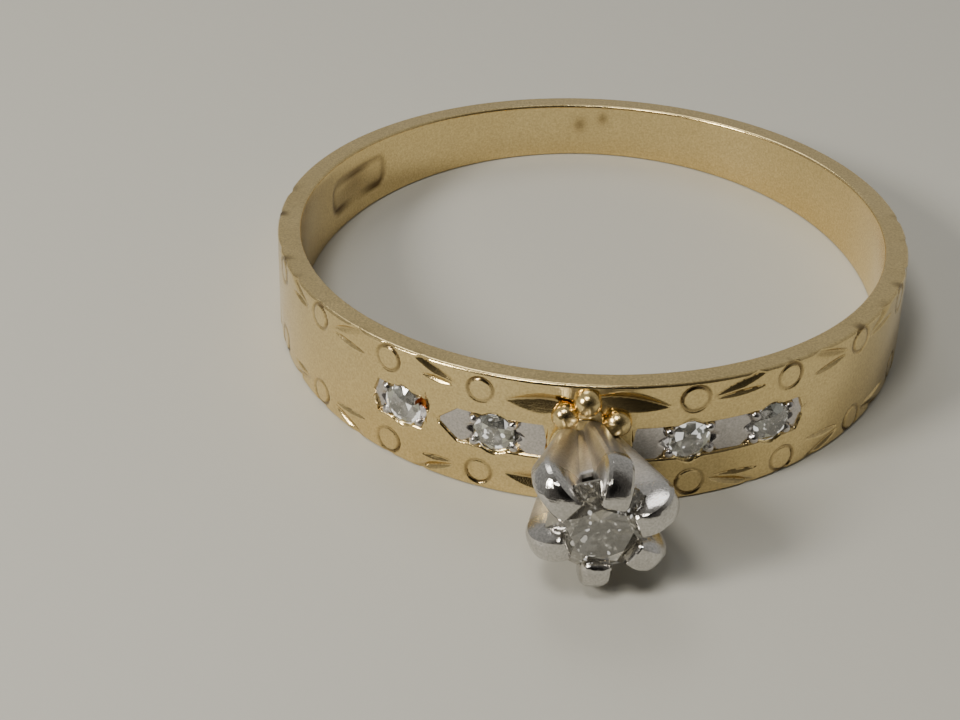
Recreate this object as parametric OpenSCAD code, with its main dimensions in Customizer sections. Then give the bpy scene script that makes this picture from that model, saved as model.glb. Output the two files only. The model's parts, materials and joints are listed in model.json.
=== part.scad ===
// Engagement ring: tapered engraved band, channel-set side stones and a six-claw head.
// Units are millimetres. The finger bore runs along Z through the origin and the head
// stands toward -Y. The two rims are flat planes that lean toward each other at the back,
// so the ring lies flat on its lower rim.

/* [Band] */
// Inside diameter of the band
bore_d = 17.0; // [14:0.1:22]
// Thickness of the band wall
wall = 0.67; // [0.5:0.01:1.2]
// Width of the band at the head
front_w = 3.76; // [2.8:0.02:6]
// Width of the band at the back
back_w = 1.72; // [1.2:0.02:4]
// Polished bevel along the outer edges
outer_bevel = 0.08; // [0.02:0.01:0.2]
// Comfort bevel along the inner edges
inner_bevel = 0.06; // [0.02:0.01:0.15]

/* [Engraving] */
// Angle between two neighbouring punched circles
step_a = 17.8; // [14:0.1:22]
// Number of punched circles on each side of the head
circle_n = 5; // [0:1:6]
// Radius of a punched circle
circle_r = 0.37; // [0.2:0.01:0.5]
// Height of the circle centres above mid-width
circle_z = 1.33; // [0.8:0.01:1.6]
// Width of the groove of a circle
groove_w = 0.1; // [0.04:0.01:0.16]
// Depth of the circles and leaf cuts
cut_depth = 0.06; // [0.02:0.01:0.1]
// Length of the upper leaf cut of a mark
leaf_l = 1.7; // [0.8:0.05:2]
// Length of the lower leaf cut of a mark
low_leaf_l = 1.3; // [0.5:0.05:1.7]
// Width of one leaf cut
leaf_w = 0.2; // [0.1:0.01:0.3]
// Length of the long leaf cuts that flank the head
long_leaf_l = 2; // [1:0.05:2.2]
// Width of the long leaf cuts that flank the head
long_leaf_w = 0.56; // [0.3:0.01:0.7]

/* [Side stones] */
// Girdle diameter of a side stone
side_d = 1.15; // [0.9:0.01:1.3]
// Angle from the head to the two inner side stones
side_inner_a = 16.4; // [14:0.1:20]
// Angle from the head to the two outer side stones
side_outer_a = 32.6; // [28:0.1:38]
// Width of the white-metal strips
strip_w = 0.98; // [0.7:0.01:1.2]
// Thickness of the white-metal strips
strip_t = 0.3; // [0.15:0.01:0.4]
// Depth of the strip face below the band surface
strip_sink = 0.07; // [0.02:0.01:0.15]
// Diameter of the raised grains that hold the side stones
bead_d = 0.3; // [0.2:0.01:0.4]
// Diameter of the open hole under each side stone
azure_d = 0.6; // [0.3:0.05:0.8]

/* [Head] */
// Girdle diameter of the centre stone
centre_d = 2.75; // [2.4:0.05:2.9]
// Height of the girdle above the band surface
girdle_h = 3.3; // [3:0.05:3.6]
// Radius of the head over the bent claws
crown_r = 1.89; // [1.8:0.01:2]
// Radius of the head over the feet of the claws
claw_foot_r = 0.85; // [0.7:0.01:0.9]
// Width of a claw at the stone
claw_w = 0.8; // [0.6:0.01:0.9]
// Width of a claw at its foot
claw_foot_w = 0.54; // [0.4:0.01:0.6]
// Turn of the claws about the head axis
head_turn = -10; // [-30:1:30]
// Sideways lean of the head
head_lean = 7; // [-8:0.5:8]
// Radius of the yellow seat under the claws
seat_r = 0.96; // [0.9:0.01:1.15]
// Thickness of the yellow seat
seat_t = 0.18; // [0.12:0.01:0.3]
// Diameter of the round lobes on the seat
lobe_d = 0.75; // [0.5:0.01:0.85]

/* [Stamp] */
// Length of the blank stamped panel inside the band
stamp_l = 2.6; // [1:0.1:3]
// Height of the blank stamped panel
stamp_h = 0.9; // [0.4:0.05:1]
// Angle of the panel from the head toward the left
stamp_a = 120; // [100:1:170]

/* [Hidden] */
$fn = 64;
round_fn = 240;
bore_r = bore_d / 2;
out_r = bore_r + wall;
mid_half = (front_w + back_w) / 4;
rim_k = (front_w - back_w) / (4 * out_r);
rim_tilt = atan(rim_k);
over = 0.5;
half_step = step_a / 2;
pocket_d = strip_t + strip_sink;
fit_gap = 0.012;
side_girdle_h = -0.06;
yellow = [0.83, 0.66, 0.36];
white = [0.78, 0.78, 0.77];
clear = [0.86, 0.92, 0.95, 0.6];

// Sweep of each white-metal strip, measured from the head toward +X.
strip_lo = [-38.8, -25.2, 7.8];
strip_hi = [-27.9, -6.6, 39.2];

// Plain margin kept between a circle's centre and the rim where the band narrows.
rim_margin = 0.42;

// Angles of the four side stones, left to right.
side_angles = [-side_outer_a, -side_inner_a + 1, side_inner_a + 1, side_outer_a];

// Leaf marks: height of the point above mid-width, and lean away from the edge line.
leaf_h = 1.31;
leaf_lean = 19;
low_leaf_h = 1.22;
low_leaf_lean = -5;
long_leaf_h = 1.15;
long_leaf_lean = 5;

// Angles from a circle to the V mark after it and before it, and of the long leaf's point.
after_circle = 3.4;
before_circle = 3.7;
long_leaf_a = 13.9;

// Height at which a lobe starts to round over.
lobe_lift = 0.06;

// Low web that ties the three lobes of one side to the seat: place, radius, height.
web_y = 0.85;
web_r = 0.45;
web_t = 0.14;

// Centres of the three lobes toward each rim: [sideways, toward the rim].
lobe_spots = [[0, 1.41], [-0.57, 0.97], [0.8, 0.84]];

// Proportions of a round brilliant, as fractions of its diameter.
table_k = 0.285;
crown_k = 0.15;
pavilion_k = 0.43;
girdle_k = 0.025;
lower_k = 0.23;

// ---------- placement helpers ----------

// Puts children on the band surface, `a` degrees from the head toward +X, `h` above
// mid-width. Local +Z points straight out of the band and local +Y is up.
module on_band(a, h) {
    rotate([0, 0, a])
        translate([0, -out_r, h])
            rotate([90, 0, 0])
                children();
}

// Puts children in the frame of the claws: as on_band, turned and leaning.
module on_head() {
    on_band(0, 0)
        rotate([0, head_lean, 0])
            rotate([0, 0, head_turn])
                children();
}

// ---------- round brilliant ----------

function polar(r, a, z) = [r * cos(a), r * sin(a), z];

// Height of a kite facet at radius rr, between (r_in, z_in) and (r_out, z_out).
function on_line(rr, r_in, z_in, r_out, z_out) =
    z_out + (z_in - z_out) * (r_out - rr) / (r_out - r_in);

// Faceted gem of diameter d. The girdle is centred on z = 0 and the table faces +Z.
module brilliant(d) {
    r = d / 2;
    g = girdle_k * d / 2;
    table_r = table_k * d;
    table_z = g + crown_k * d;
    culet_z = -g - pavilion_k * d;
    star_r = (table_r * cos(22.5) + r) / 2;
    star_z = on_line(star_r * cos(22.5), table_r, table_z, r, g);
    low_r = lower_k * d / 2;
    low_z = on_line(low_r * cos(22.5), 0, culet_z, r, -g);
    // Rows: 8 table, 8 star, 16 upper girdle, 16 lower girdle, 8 lower halves, culet.
    pts = concat(
        [for (i = [0:7]) polar(table_r, i * 45, table_z)],
        [for (i = [0:7]) polar(star_r, i * 45 + 22.5, star_z)],
        [for (i = [0:15]) polar(r, i * 22.5, g)],
        [for (i = [0:15]) polar(r, i * 22.5, -g)],
        [for (i = [0:7]) polar(low_r, i * 45 + 22.5, low_z)],
        [[0, 0, culet_z]]);
    s0 = 8;
    u0 = 16;
    l0 = 32;
    p0 = 48;
    c0 = 56;
    faces = concat(
        [[for (i = [7:-1:0]) i]],
        [for (i = [0:7]) [i, (i + 1) % 8, s0 + i]],
        [for (i = [0:7]) [i, s0 + i, u0 + 2 * i]],
        [for (i = [0:7]) [i, u0 + 2 * i, s0 + (i + 7) % 8]],
        [for (i = [0:7]) [s0 + i, u0 + 2 * i + 1, u0 + 2 * i]],
        [for (i = [0:7]) [s0 + i, u0 + (2 * i + 2) % 16, u0 + 2 * i + 1]],
        [for (i = [0:15]) [u0 + i, u0 + (i + 1) % 16, l0 + (i + 1) % 16]],
        [for (i = [0:15]) [u0 + i, l0 + (i + 1) % 16, l0 + i]],
        [for (i = [0:7]) [p0 + i, l0 + 2 * i, l0 + 2 * i + 1]],
        [for (i = [0:7]) [p0 + i, l0 + 2 * i + 1, l0 + (2 * i + 2) % 16]],
        [for (i = [0:7]) [c0, l0 + 2 * i, p0 + i]],
        [for (i = [0:7]) [c0, p0 + (i + 7) % 8, l0 + 2 * i]]);
    polyhedron(points = pts, faces = faces);
}

// Turned seat of a brilliant of diameter d, left open to `top` above the girdle.
module gem_seat(d, top) {
    r = d / 2 + fit_gap;
    g = girdle_k * d / 2 + fit_gap;
    rotate_extrude($fn = round_fn)
        polygon([[0, -g - pavilion_k * d], [r, -g], [r, g], [r, top], [0, top]]);
}

// Turned envelope that also follows the crown of the stone.
module gem_envelope(d) {
    r = d / 2 + fit_gap;
    g = girdle_k * d / 2 + fit_gap;
    rotate_extrude($fn = round_fn)
        polygon([
            [0, -g - pavilion_k * d],
            [r, -g],
            [r, g],
            [table_k * d + fit_gap, g + crown_k * d],
            [0, g + crown_k * d]
        ]);
}

// ---------- band ----------

// Frustum that trims one rim: its small end is the rim plane and its flank the bevel.
module rim_cutter() {
    depth = front_w * 2;
    small_r = out_r - outer_bevel;
    translate([0, 0, mid_half])
        rotate([-rim_tilt, 0, 0])
            translate([0, 0, -depth])
                cylinder(h = depth, r1 = small_r + depth, r2 = small_r, $fn = round_fn);
}

// Cone that breaks one inner edge of the band.
module inner_edge_cutter() {
    translate([0, 0, mid_half])
        rotate([-rim_tilt, 0, 0])
            translate([0, 0, -2 * inner_bevel])
                cylinder(h = 3 * inner_bevel, r1 = bore_r - inner_bevel,
                         r2 = bore_r + 2 * inner_bevel, $fn = round_fn);
}

module band_blank() {
    difference() {
        intersection() {
            cylinder(h = 2 * front_w, r = out_r, center = true, $fn = round_fn);
            rim_cutter();
            mirror([0, 0, 1])
                rim_cutter();
        }
        cylinder(h = 3 * front_w, r = bore_r, center = true, $fn = round_fn);
        inner_edge_cutter();
        mirror([0, 0, 1])
            inner_edge_cutter();
    }
}

// Half-width of the band `a` degrees from the head.
function half_at(a) = mid_half + rim_k * out_r * cos(a);

// How far the pattern moves toward mid-width where the band narrows.
function drop_at(a) = max(0, circle_z - half_at(a) + rim_margin);

// Ring-shaped groove of one punched circle.
module circle_cut(a) {
    on_band(a, circle_z - drop_at(a))
        translate([0, 0, -cut_depth])
            difference() {
                cylinder(h = over, r = circle_r + groove_w / 2, $fn = 48);
                translate([0, 0, -over])
                    cylinder(h = 3 * over, r = circle_r - groove_w / 2, $fn = 48);
            }
}

// One leaf-shaped graver cut. It starts `a` degrees round and `h` up, and runs toward
// `dir` (degrees from +X in the surface) for length l, with greatest width w.
module leaf_cut(a, h, dir, l, w) {
    on_band(a, h - drop_at(a))
        rotate([0, 0, dir])
            translate([0, 0, -cut_depth])
                linear_extrude(height = over)
                    polygon([[0, 0], [l * 0.4, -w / 2], [l * 0.75, -w / 2], [l, 0],
                             [l * 0.75, w / 2], [l * 0.4, w / 2]]);
}

// V mark of two leaves whose point is at angle a; s = +1 opens toward +X.
module v_mark(a, s) {
    base = s > 0 ? 0 : 180;
    leaf_cut(a, leaf_h, base + s * leaf_lean, leaf_l, leaf_w);
    leaf_cut(a, low_leaf_h, base + s * low_leaf_lean, low_leaf_l, leaf_w);
}

// Long leaf beside the head, point outward at angle a.
module long_mark(a, s) {
    base = s > 0 ? 0 : 180;
    leaf_cut(a, long_leaf_h, base + s * long_leaf_lean, long_leaf_l, long_leaf_w);
}

// Circles and V marks along one edge of the band.
module edge_pattern() {
    for (s = [-1, 1]) {
        for (i = [1:circle_n])
            circle_cut(s * i * step_a);
        long_mark(s * long_leaf_a, -s);
        for (i = [1:2:circle_n])
            v_mark(s * (i * step_a + after_circle), s);
        for (i = [3:2:circle_n])
            v_mark(s * (i * step_a - before_circle), -s);
    }
}

// Sector of a tube that holds strip i, from radius r_lo to r_hi and w wide.
module strip_shape(i, r_lo, r_hi, w) {
    rotate([0, 0, strip_lo[i] - 90])
        rotate_extrude(angle = strip_hi[i] - strip_lo[i], $fn = round_fn)
            translate([r_lo, -w / 2])
                square([r_hi - r_lo, w]);
}

module side_seat(a) {
    on_band(a, 0)
        translate([0, 0, side_girdle_h])
            gem_seat(side_d, over);
    on_band(a, 0)
        translate([0, 0, -wall - over])
            cylinder(h = wall + over, d = azure_d);
}

// Blank recessed panel on the inner wall.
module stamp_cut() {
    depth = 0.05;
    rotate([0, 0, -stamp_a])
        translate([0, -bore_r, 0])
            rotate([90, 0, 0])
                translate([-stamp_l / 2, -stamp_h / 2, -over])
                    cube([stamp_l, stamp_h, over + depth]);
}

// Yellow-gold band with engraving, pockets and stone seats.
module shank() {
    color(yellow)
        difference() {
            band_blank();
            edge_pattern();
            mirror([0, 0, 1])
                edge_pattern();
            for (i = [0:2])
                strip_shape(i, out_r - pocket_d, out_r + over, strip_w);
            for (a = side_angles)
                side_seat(a);
            stamp_cut();
        }
}

// ---------- strips and side stones ----------

// Four raised grains round one side stone.
module grains(a) {
    reach = side_d / 2 + bead_d * 0.22;
    for (q = [38, 142, 218, 322])
        on_band(a, 0)
            rotate([0, 0, q])
                translate([reach, 0, -strip_sink])
                    sphere(d = bead_d, $fn = 32);
}

// White-metal strip i with the grains of the listed stones.
module strip(i, stones) {
    color(white)
        difference() {
            union() {
                strip_shape(i, out_r - pocket_d, out_r - strip_sink, strip_w);
                intersection() {
                    for (a = stones)
                        grains(a);
                    strip_shape(i, out_r - pocket_d, out_r + over, strip_w);
                }
            }
            for (a = stones)
                on_band(a, 0)
                    translate([0, 0, side_girdle_h])
                        gem_envelope(side_d);
            for (a = stones)
                on_band(a, 0)
                    translate([0, 0, -wall])
                        cylinder(h = wall - strip_sink, d = azure_d);
        }
}

module strip_left_outer() {
    strip(0, [side_angles[0]]);
}

module strip_left_inner() {
    strip(1, [side_angles[1]]);
}

module strip_right() {
    strip(2, [side_angles[2], side_angles[3]]);
}

module side_stone(i) {
    color(clear)
        on_band(side_angles[i], 0)
            translate([0, 0, side_girdle_h])
                brilliant(side_d);
}

module stone_left_outer() {
    side_stone(0);
}

module stone_left_inner() {
    side_stone(1);
}

module stone_right_inner() {
    side_stone(2);
}

module stone_right_outer() {
    side_stone(3);
}

// ---------- head ----------

// One domed lobe, its foot sunk below the band surface.
module lobe() {
    r = lobe_d / 2;
    rotate_extrude($fn = 48)
        polygon(concat(
            [[0, -over], [r, -over]],
            [for (t = [0:15:90]) [r * cos(t), lobe_lift + r * sin(t)]]));
}

// Yellow seat: a disc with three round lobes toward each edge of the band.
module head_base() {
    color(yellow)
        difference() {
            union() {
                on_band(0, 0)
                    translate([0, 0, -over])
                        cylinder(h = over + seat_t, r = seat_r);
                for (m = [-1, 1])
                    on_band(0, 0)
                        translate([0, m * web_y, -over])
                            cylinder(h = over + web_t, r = web_r);
                for (m = [-1, 1])
                    for (p = lobe_spots)
                        on_band(0, 0)
                            translate([p[0], m * p[1], 0])
                                lobe();
            }
            cylinder(h = 2 * front_w, r = out_r, center = true, $fn = round_fn);
        }
}

// Side profile of one claw: [radius, height] round the outline.
module claw_profile() {
    bend_r = 0.85;
    tip_r = 0.13;
    top_h = girdle_h + 0.68;
    bend_c = [crown_r - bend_r, top_h - bend_r];
    tip_c = [1, top_h - tip_r];
    foot_in_r = 0.36;
    knee = [0.92, girdle_h - 0.4];
    heel = [1.2, girdle_h + 0.16];
    polygon(concat(
        [[foot_in_r, 0], [claw_foot_r, 0]],
        [for (t = [-18:9:90]) bend_c + bend_r * [cos(t), sin(t)]],
        [for (t = [90:22.5:270]) tip_c + tip_r * [cos(t), sin(t)]],
        [heel, knee]));
}

// Plan of one claw seen along the head axis, with a softly rounded tip.
module claw_plan() {
    h = claw_w / 2;
    tip = 0.6 * h;
    tip_r = 0.86;
    full_r = 1.08;
    reach = 3;
    polygon([[0, -tip], [tip_r, -tip], [full_r, -h], [reach, -h],
             [reach, h], [full_r, h], [tip_r, tip], [0, tip]]);
}

// Face of one claw seen from outside: narrow at the foot, wide at the stone.
module claw_face() {
    f = claw_foot_w / 2;
    h = claw_w / 2;
    top = girdle_h + 1;
    polygon([[-f, 0], [f, 0], [h, girdle_h - 0.2], [h, top], [-h, top], [-h, girdle_h - 0.2]]);
}

// One claw standing toward local +X.
module claw() {
    reach = 3;
    half_w = reach * tan(29.9);
    intersection() {
        rotate([90, 0, 0])
            linear_extrude(height = 2, center = true)
                claw_profile();
        linear_extrude(height = girdle_h + 1)
            claw_plan();
        rotate([90, 0, 90])
            linear_extrude(height = reach)
                claw_face();
        linear_extrude(height = girdle_h + 1)
            polygon([[0, 0], [reach, -half_w], [reach, half_w]]);
    }
}

// Cup that joins the claws in the lower half of the head.
module claw_cup() {
    rim = 2.4;
    foot_r = 0.62;
    rim_r = 0.98;
    rim_t = 0.17;
    floor_r = 0.34;
    floor_h = 0.5;
    rotate_extrude($fn = round_fn)
        polygon([[0, 0], [foot_r, 0], [rim_r, rim], [rim_r - rim_t, rim],
                 [floor_r, floor_h], [0, floor_h]]);
}

// White-metal head: six broad bent claws round a cup, with the stone seat cut in.
module claw_crown() {
    color(white)
        intersection() {
            on_head()
                difference() {
                    union() {
                        claw_cup();
                        for (i = [0:5])
                            rotate([0, 0, i * 60 + 30])
                                claw();
                    }
                    translate([0, 0, girdle_h])
                        gem_envelope(centre_d);
                }
            on_band(0, 0)
                translate([0, 0, seat_t])
                    cylinder(h = 6, r = 4);
        }
}

module centre_stone() {
    color(clear)
        on_head()
            translate([0, 0, girdle_h])
                brilliant(centre_d);
}

shank();
strip_left_outer();
strip_left_inner();
strip_right();
stone_left_outer();
stone_left_inner();
stone_right_inner();
stone_right_outer();
head_base();
claw_crown();
centre_stone();
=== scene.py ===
import json
import math
import random
from collections import namedtuple

import bpy
import numpy as np
from mathutils import Matrix, Vector


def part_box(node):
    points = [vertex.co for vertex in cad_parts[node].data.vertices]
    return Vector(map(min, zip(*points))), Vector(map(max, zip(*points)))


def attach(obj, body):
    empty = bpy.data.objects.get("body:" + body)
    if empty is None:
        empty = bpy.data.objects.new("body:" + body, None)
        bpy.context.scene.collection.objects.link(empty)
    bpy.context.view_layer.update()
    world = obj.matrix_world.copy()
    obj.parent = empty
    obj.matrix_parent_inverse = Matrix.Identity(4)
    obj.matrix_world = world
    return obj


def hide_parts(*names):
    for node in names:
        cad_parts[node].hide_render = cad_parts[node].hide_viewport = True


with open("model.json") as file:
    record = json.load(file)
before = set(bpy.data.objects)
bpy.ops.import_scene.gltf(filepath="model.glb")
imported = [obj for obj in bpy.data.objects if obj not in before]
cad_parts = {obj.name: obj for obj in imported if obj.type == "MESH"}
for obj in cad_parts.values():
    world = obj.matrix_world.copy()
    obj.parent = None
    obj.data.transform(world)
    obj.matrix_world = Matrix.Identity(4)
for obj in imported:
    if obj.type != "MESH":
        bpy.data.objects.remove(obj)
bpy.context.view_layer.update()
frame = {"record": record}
MM = 0.001

# ---------------------------------------------------------------- sizes, in millimetres
# Angles round the band are in degrees from the head, positive toward +X.
BORE = next(m for m in frame["record"]["mounts"] if m["name"] == "finger_bore")
R_IN = BORE["dims"]["r_mm"]
R_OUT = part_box("shank")[1].x / MM
FRONT_W = 3.76
BACK_W = 1.72
RIM_K = (FRONT_W - BACK_W) / (4 * R_OUT)
MID_HALF = (FRONT_W + BACK_W) / 4
OUTER_ROUND = 0.09
INNER_ROUND = 0.07

# Punched circles along both edges, every STEP_A degrees to each side of the head.
STEP_A = 17.8
CIRCLE_N = 5
CIRCLE_R = 0.37
CIRCLE_Z = 1.33
RIM_MARGIN = 0.42
GROOVE_HALF = 0.055
GROOVE_DEPTH = 0.06
# Half-width and share of the darker colour in each punched circle.
CUT_DARK_HALF = 0.075
CUT_DARK_SHARE = 0.9

# Leaf-shaped cuts, given for the right side and mirrored to the left. Skew moves the
# bottom of the V sideways, lead moves the widest point along the leaf.
Leaf = namedtuple("Leaf", "height length width depth skew lead")
LONG_LEAF = Leaf(1.17, 2.15, 0.62, 0.15, -0.2, 1.1)
LONG_LEAF_A = 13.9
AFTER_HIGH = Leaf(1.3, 1.8, 0.26, 0.1, 0.3, 0.85)
AFTER_LOW = Leaf(1.26, 1.6, 0.2, 0.08, -0.3, 0.9)
BEFORE_HIGH = Leaf(1.3, 1.8, 0.25, 0.1, -0.3, 0.85)
BEFORE_LOW = Leaf(1.22, 1.4, 0.2, 0.08, 0.3, 0.9)
# How the right (1) and left (-1) side differ: slope of the long leaf in degrees, length of
# the low leaf beyond a circle, and how many degrees beyond the circle it starts.
SIDE_HABITS = {
    1: {"rise": 9, "low_length": 1.6, "after": 3.1},
    -1: {"rise": 1, "low_length": 1.1, "after": 4.3},
}

SIDE_D = 1.15
SIDE_ANGLES = (-32.6, -15.4, 17.4, 32.6)
SIDE_GIRDLE = -0.06
AZURE_R = 0.3
STRIP_HALF = 0.49
STRIP_SINK = 0.07
POCKET = 0.37
# Each slot has a bright-cut lip outside its edge and a steep wall inside it.
LIP_W = 0.05
WALL_W = 0.012
STRIP_SPANS = ((-38.8, -27.9), (-25.2, -6.6), (7.8, 39.2))
# Degrees over which each strip narrows to a blunt point, at its left and right end.
STRIP_TAPERS = ((1.0, 0.7), (3.2, 0.35), (0.3, 1.1))
BLUNT = 0.14
STRIP_ROWS = 37
STRIP_STEP = 0.16
# How far a strip reaches into the wall of its slot.
TUCK = 0.008
# Ball grains round each side stone: distance along and across the strip, and half size.
GRAIN_ANGLES = (36, 144, 216, 324)
GRAIN_OUT_U = 0.66
GRAIN_OUT_Z = 0.6
GRAIN_L = 0.17
GRAIN_W = 0.15
# The drilled hole is cut shallow and filled with a darker colour as painted shade of a deep
# hole.
DRILLED = {"angle": -28.3, "z": 0.3, "radius": 0.19, "depth": 0.14}
# Shallow run-out cuts at strip ends: (angle, direction in degrees, length, width).
RUN_OUTS = (
    (STRIP_SPANS[0][0] + 0.4, 180, 0.62, 0.3),
    (STRIP_SPANS[0][1] - 0.4, -8, 0.5, 0.26),
    (STRIP_SPANS[1][0] + 0.4, 172, 0.22, 0.2),
    (STRIP_SPANS[2][1] - 0.6, 0, 0.75, 0.42),
)
RUN_OUT_DEPTH = 0.05

# Blank stamped panel and two smudges (angle, height, size) on the inner wall.
STAMP = {"angle": -120.0, "length": 2.6, "height": 0.9, "corner": 0.3}
SMUDGES = ((178.0, 0.45, 0.16), (-177.0, 0.2, 0.2))

# Rows of the band mesh. The core rows follow the slots, the edge rows carry the engraving.
# The core narrows where the rim comes closer to the middle than CORE_FULL_FROM.
CORE_HALF = 0.8
CORE_ROWS = (0.0, 0.15, 0.3, 0.42, 0.478, 0.49, 0.51, 0.54, 0.56, 0.585, 0.61, 0.68, 0.76)
CORE_FULL_FROM = 1.55
LIP_ROWS_W = 0.12
LIP_ROWS_TOP = 0.61
PAST_ROWS_W = 0.19
EDGE_ROWS = 31
INNER_ROWS = 17
OUTER_TURNS = 5
INNER_TURNS = 3
RIM_SHARES = (0.06, 0.5, 0.94)
# Columns of the band mesh: (from, to, step) in degrees, fine where it is engraved.
COLUMN_SPANS = (
    (-180, -174, 0.5), (-174, -133, 1.5), (-133, -107, 0.5), (-107, -62, 0.6),
    (-62, -45, 0.36), (-45, 45, 0.24), (45, 62, 0.36), (62, 107, 0.6),
    (107, 174, 1.5), (174, 180, 0.5),
)

CENTRE_D = 2.75
# Proportions of a round brilliant. The table's radius, crown and pavilion are shares of
# the diameter; half the girdle and the radius of the lower facets are shares of the radius.
TABLE = 0.285
CROWN = 0.15
PAVILION = 0.43
GIRDLE = 0.025
LOWER = 0.23

SEAT_R = 0.96
SEAT_T = 0.18
LOBE_R = 0.375
LOBE_SPOTS = ((0.0, 1.41), (-0.57, 0.97), (0.8, 0.84))

GIRDLE_H = 3.3
HEAD_TURN = -10.0
HEAD_LEAN = 7.0
CLAW_N = 6
CROWN_R = 1.89
CLAW_W = 0.8
CLAW_FOOT_W = 0.54
CLAW_RISE = 0.68
CLAW_FLARE = 18.0
# Inner and outer line of a claw: (distance from the head's axis, height).
CLAW_FOOT_OUT = (0.81, -0.12)
CLAW_FOOT_IN = (0.34, -0.12)
CLAW_KNEE_IN = (0.92, 2.9)
# Tip of a claw: (distance from the axis, drop below its top, lift of its underside, share
# of the claw's width). A longer claw moves each point inward, by its share of TIP_L
# beyond TIP_FROM.
CLAW_TIP = (
    (1.0, 0.012, 0.1, 0.96), (0.95, 0.03, 0.13, 0.9),
    (0.91, 0.07, 0.14, 0.8), (0.88, 0.13, 0.15, 0.62),
)
TIP_FROM = 1.04
TIP_L = 0.16
TIP_IN_H = 3.52
# How the inner line moves from the knee to the tip, and how much the bend widens the claw.
KNEE_TO_TIP = (0.2, 0.62)
BEND_SWELL = 0.04
# Outline of the cup that joins the claws: (radius, height), outside up and inside down.
CUP = (
    (0, -0.2), (0.62, -0.2), (0.62, 0.0), (0.79, 1.2), (0.97, 2.34), (0.95, 2.4),
    (0.81, 2.4), (0.78, 2.34), (0.34, 0.5), (0, 0.5),
)
# The claws are polished above CAST_TOP, a height on the head, and fade to a matt cast
# finish over CAST_FADE below it.
CAST_TOP = 3.05
CAST_FADE = 0.5
# Each claw as bent by hand: extra reach outward (mm), sideways sway (degrees), radius of
# the bend (mm), height lost (mm) and length missing at the tip (mm).
CLAW_GROW = (0.16, 0.0, 0.2, 0.0, 0.0, 0.1)
CLAW_SWAY = (-1.0, -5.0, -1.0, -1.0, 5.5, 5.0)
CLAW_BEND = (0.85, 0.85, 1.0, 0.85, 0.8, 0.8)
CLAW_DROP = (0.0, 0.0, 0.2, 0.0, 0.0, 0.0)
CLAW_SHORT = (0.0, 0.0, 0.12, 0.0, 0.0, 0.05)


# ---------------------------------------------------------------- placement
def half_at(phi, r=R_OUT):
    """Half-width of the band at angle phi (radians from the head), at radius r."""
    return MID_HALF + RIM_K * r * np.cos(phi)


def arc(angle):
    """Distance from the head along the outside of the band to an angle in degrees."""
    return math.radians(angle) * R_OUT


def on_band(angle, lift=0.0):
    """Frame on the band surface: x along the band, y up, z straight out. Millimetres."""
    a = math.radians(angle)
    r = R_OUT + lift
    return Matrix(
        (
            (math.cos(a), 0, math.sin(a), r * math.sin(a)),
            (math.sin(a), 0, -math.cos(a), -r * math.cos(a)),
            (0, 1, 0, 0),
            (0, 0, 0, 1),
        )
    )


def head_frame(height=0.0):
    """Frame of the claws and centre stone, turned and leaning as on the real ring."""
    lean = Matrix.Rotation(math.radians(HEAD_LEAN), 4, "Y")
    turn = Matrix.Rotation(math.radians(HEAD_TURN), 4, "Z")
    return on_band(0) @ lean @ turn @ Matrix.Translation((0, 0, height))


# ---------------------------------------------------------------- mesh making
def signed_volume(v, faces):
    """Six times the signed volume, negative when the faces point inward."""
    total = 0.0
    by_size = {}
    for f in faces:
        by_size.setdefault(len(f), []).append(f)
    for n, group in by_size.items():
        g = np.array(group)
        for k in range(1, n - 1):
            a, b, c = v[g[:, 0]], v[g[:, k]], v[g[:, k + 1]]
            total += np.einsum("ij,ij->i", a, np.cross(b, c)).sum()
    return total


def add_object(name, verts, faces, matrix=None):
    """Mesh object from millimetre vertices in a local frame, faces turned outward."""
    m = np.array(matrix or Matrix.Identity(4))
    v = np.asarray(verts, float).reshape(-1, 3) @ m[:3, :3].T + m[:3, 3]
    if signed_volume(v, faces) < 0:
        faces = [f[::-1] for f in faces]
    v = v * MM
    mesh = bpy.data.meshes.new(name)
    mesh.from_pydata(v.tolist(), [], [tuple(map(int, f)) for f in faces])
    mesh.validate()
    o = bpy.data.objects.new(name, mesh)
    bpy.context.scene.collection.objects.link(o)
    return o


def smooth(o, angle):
    """Smooth shading, with edges kept sharp above an angle in degrees."""
    o.data.shade_smooth()
    o.data.set_sharp_from_angle(angle=math.radians(angle))
    return o


def grid_faces(nc, nr, wrap_c=False, wrap_r=False):
    """Quads of a grid stored column by column, rows fastest."""
    c = np.arange(nc if wrap_c else nc - 1)
    r = np.arange(nr if wrap_r else nr - 1)
    cc, rr = np.meshgrid(c, r, indexing="ij")
    c1, r1 = (cc + 1) % nc, (rr + 1) % nr
    q = np.stack([cc * nr + rr, c1 * nr + rr, c1 * nr + r1, cc * nr + r1], axis=-1)
    return q.reshape(-1, 4).tolist()


def tube_faces(nc, nr):
    """Closed tube of nc rings with nr points each, with both end caps."""
    faces = grid_faces(nc, nr, wrap_r=True)
    faces.append(list(range(nr)))
    faces.append([(nc - 1) * nr + i for i in range(nr - 1, -1, -1)])
    return faces


def lathe(profile, segments):
    """Closed solid turned about local z from [radius, height] points, axis to axis."""
    verts, faces, rings = [], [], []
    for r, h in profile:
        if r < 1e-6:
            rings.append([len(verts)])
            verts.append((0, 0, h))
        else:
            rings.append(list(range(len(verts), len(verts) + segments)))
            for i in range(segments):
                t = 2 * math.pi * i / segments
                verts.append((r * math.cos(t), r * math.sin(t), h))
    for a, b in zip(rings, rings[1:]):
        for i in range(segments):
            j = (i + 1) % segments
            if len(a) == 1:
                faces.append((a[0], b[j], b[i]))
            elif len(b) == 1:
                faces.append((a[i], a[j], b[0]))
            else:
                faces.append((a[i], a[j], b[j], b[i]))
    return verts, faces


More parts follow.
